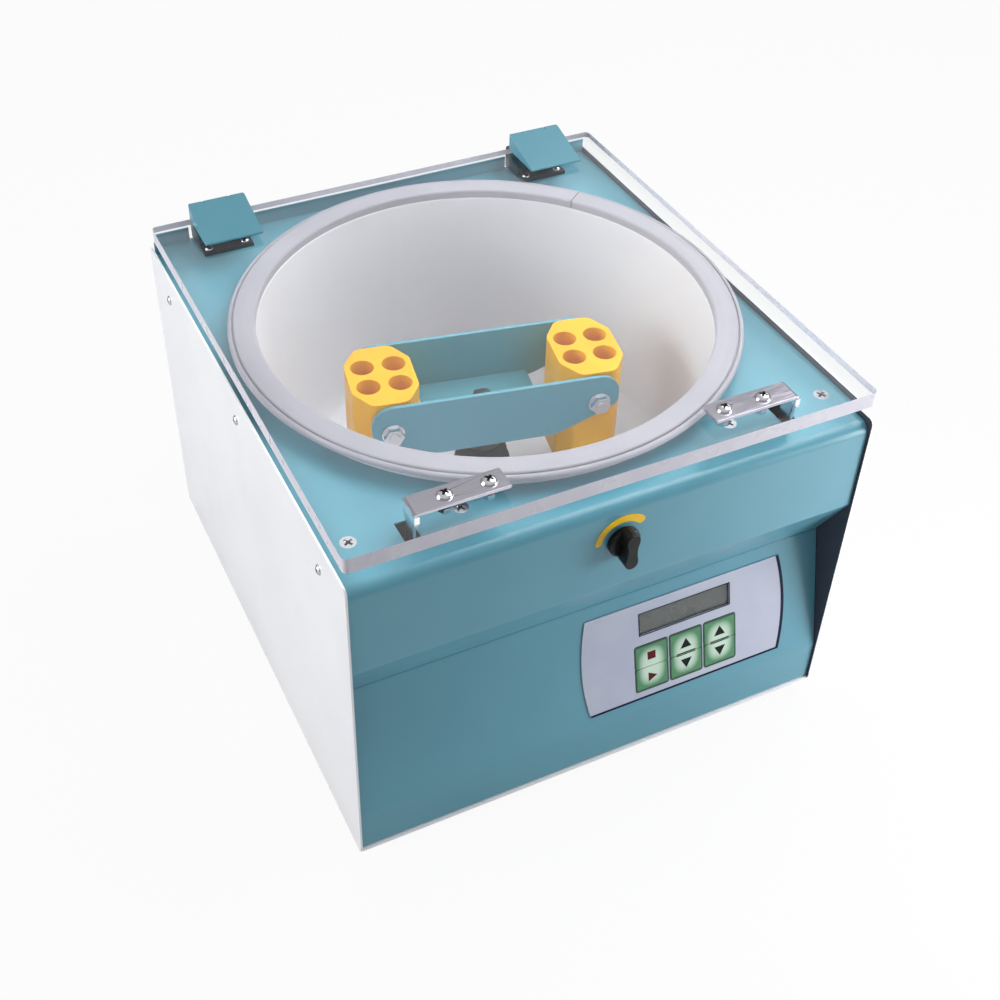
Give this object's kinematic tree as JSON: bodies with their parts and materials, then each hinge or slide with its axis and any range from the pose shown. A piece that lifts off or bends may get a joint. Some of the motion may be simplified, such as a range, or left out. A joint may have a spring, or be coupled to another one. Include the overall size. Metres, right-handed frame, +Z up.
{
  "type": "butterfat centrifuge",
  "caption": "Bench centrifuge for butterfat tubes: sheet metal cabinet, round bowl with swing-out tube buckets on a yoke rotor, thick clear hinged lid with latch brackets, lock knob and keypad.",
  "frame": {"origin": "middle of the box's underside, on the bench under the cabinet; the spindle axis stands 6 mm behind it", "axes": "+X right seen from the front, +Y to the back, +Z up"},
  "size_m": [0.505, 0.558, 0.4072],
  "materials": {
    "white_enamel": "satin",
    "teal_enamel": "satin",
    "bowl_enamel": "satin",
    "rim_plastic": "satin",
    "clear_acrylic": "clear, polished edges",
    "polished_steel": "polished",
    "bright_fasteners": "bright zinc",
    "black_metal": "satin",
    "black_plastic": "satin",
    "yellow_plastic": "satin",
    "yellow_print": "matt",
    "keypad_film": "matt film",
    "green_key_print": "matt film",
    "display_glass": "gloss",
    "display_face": "matt",
    "circuit_board": "satin",
    "black_rubber": "matt",
    "grey_cast_iron": "rough",
    "laminated_steel": "laminated",
    "ground_steel": "ground",
    "zinc_steel": "zinc plated",
    "turned_brass": "turned"
  },
  "bodies": {
    "cabinet": {"side_panel_left": "white_enamel", "side_panel_right": "white_enamel", "top_panel": "teal_enamel", "front_panel": "teal_enamel", "rear_panel": "teal_enamel", "base_plate": "white_enamel", "feet": "black_rubber", "bowl": "bowl_enamel", "rim_seal": "rim_plastic", "hinge_bases": "black_metal", "hinge_pins": "bright_fasteners", "hinge_screws": "bright_fasteners", "top_screws": "bright_fasteners", "side_screws": "bright_fasteners", "knob_bush": "turned_brass", "lock_scale": "yellow_print", "latch_guides": "zinc_steel", "lid_switch": "black_plastic", "motor_plate": "zinc_steel", "dampers": "black_rubber", "motor_housing": "grey_cast_iron", "motor_cap": "grey_cast_iron", "stator": "laminated_steel", "bearings": "ground_steel", "shaft_seal": "black_rubber", "keypad_sheet": "keypad_film", "display_window": "display_glass", "display_module": "display_face", "control_board": "circuit_board", "power_inlet": "black_plastic", "fuse_holder": "black_plastic", "switch_frame": "black_plastic", "drive_board": "circuit_board"},
    "lid": {"lid_plate": "clear_acrylic", "latch_bracket_left": "polished_steel", "latch_bracket_right": "polished_steel", "bracket_bolts": "bright_fasteners", "hinge_leaves": "black_metal", "hinge_cover_left": "teal_enamel", "hinge_cover_right": "teal_enamel", "leaf_bolts": "bright_fasteners"},
    "knob": {"lock_knob": "black_plastic", "knob_shaft": "zinc_steel"},
    "latch": {"latch_bar": "zinc_steel"},
    "rotor": {"rotor_yoke": "teal_enamel", "rotor_hub": "black_metal", "rotor_nut": "black_metal", "pivot_bolts": "bright_fasteners", "motor_shaft": "ground_steel", "armature": "laminated_steel"},
    "bucket_left": {"bucket_left": "yellow_plastic"},
    "bucket_right": {"bucket_right": "yellow_plastic"},
    "key_stop": {"key_stop": "green_key_print"},
    "key_start": {"key_start": "green_key_print"},
    "key_time_up": {"key_time_up": "green_key_print"},
    "key_time_down": {"key_time_down": "green_key_print"},
    "key_speed_up": {"key_speed_up": "green_key_print"},
    "key_speed_down": {"key_speed_down": "green_key_print"},
    "rocker": {"power_rocker": "black_plastic"}
  },
  "joints": [
    {"name": "lid_hinge", "type": "hinge", "parent": "cabinet", "child": "lid", "pos_m": [0, 0.266, 0.383], "axis": [-1, 0, 0], "range_deg": [0, 95]},
    {"name": "knob_turn", "type": "hinge", "parent": "cabinet", "child": "knob", "pos_m": [0, -0.261, 0.3134], "axis": [0, -1, 0], "range_deg": [0, 90]},
    {"name": "latch_slide", "type": "slide", "parent": "cabinet", "child": "latch", "axis": [1, 0, 0], "range_m": [0, 0.014]},
    {"name": "rotor_spin", "type": "hinge", "parent": "cabinet", "child": "rotor", "pos_m": [0, 0.006, 0.282], "axis": [0, 0, 1], "continuous": true},
    {"name": "bucket_left_swing", "type": "hinge", "parent": "rotor", "child": "bucket_left", "pos_m": [-0.10019, 0.02511, 0.282], "axis": [0.1874, 0.9823, 0], "range_deg": [0, 90]},
    {"name": "bucket_right_swing", "type": "hinge", "parent": "rotor", "child": "bucket_right", "pos_m": [0.10019, -0.01311, 0.282], "axis": [-0.1874, -0.9823, 0], "range_deg": [0, 90]},
    {"name": "key_stop_press", "type": "slide", "parent": "cabinet", "child": "key_stop", "axis": [0, 0.9686, -0.2486], "range_m": [0, 0.0005], "stiffness_N_per_m": 3000, "springref_m": -0.0002},
    {"name": "key_start_press", "type": "slide", "parent": "cabinet", "child": "key_start", "axis": [0, 0.9686, -0.2486], "range_m": [0, 0.0005], "stiffness_N_per_m": 3000, "springref_m": -0.0002},
    {"name": "key_time_up_press", "type": "slide", "parent": "cabinet", "child": "key_time_up", "axis": [0, 0.9686, -0.2486], "range_m": [0, 0.0005], "stiffness_N_per_m": 3000, "springref_m": -0.0002},
    {"name": "key_time_down_press", "type": "slide", "parent": "cabinet", "child": "key_time_down", "axis": [0, 0.9686, -0.2486], "range_m": [0, 0.0005], "stiffness_N_per_m": 3000, "springref_m": -0.0002},
    {"name": "key_speed_up_press", "type": "slide", "parent": "cabinet", "child": "key_speed_up", "axis": [0, 0.9686, -0.2486], "range_m": [0, 0.0005], "stiffness_N_per_m": 3000, "springref_m": -0.0002},
    {"name": "key_speed_down_press", "type": "slide", "parent": "cabinet", "child": "key_speed_down", "axis": [0, 0.9686, -0.2486], "range_m": [0, 0.0005], "stiffness_N_per_m": 3000, "springref_m": -0.0002},
    {"name": "rocker_tilt", "type": "hinge", "parent": "cabinet", "child": "rocker", "pos_m": [0.196, 0.268, 0.075], "axis": [-1, 0, 0], "range_deg": [0, 20]}
  ],
  "couplings": [
    {"joint": "knob_turn", "follows": "latch_slide", "rad_per_m": 112.2}
  ]
}
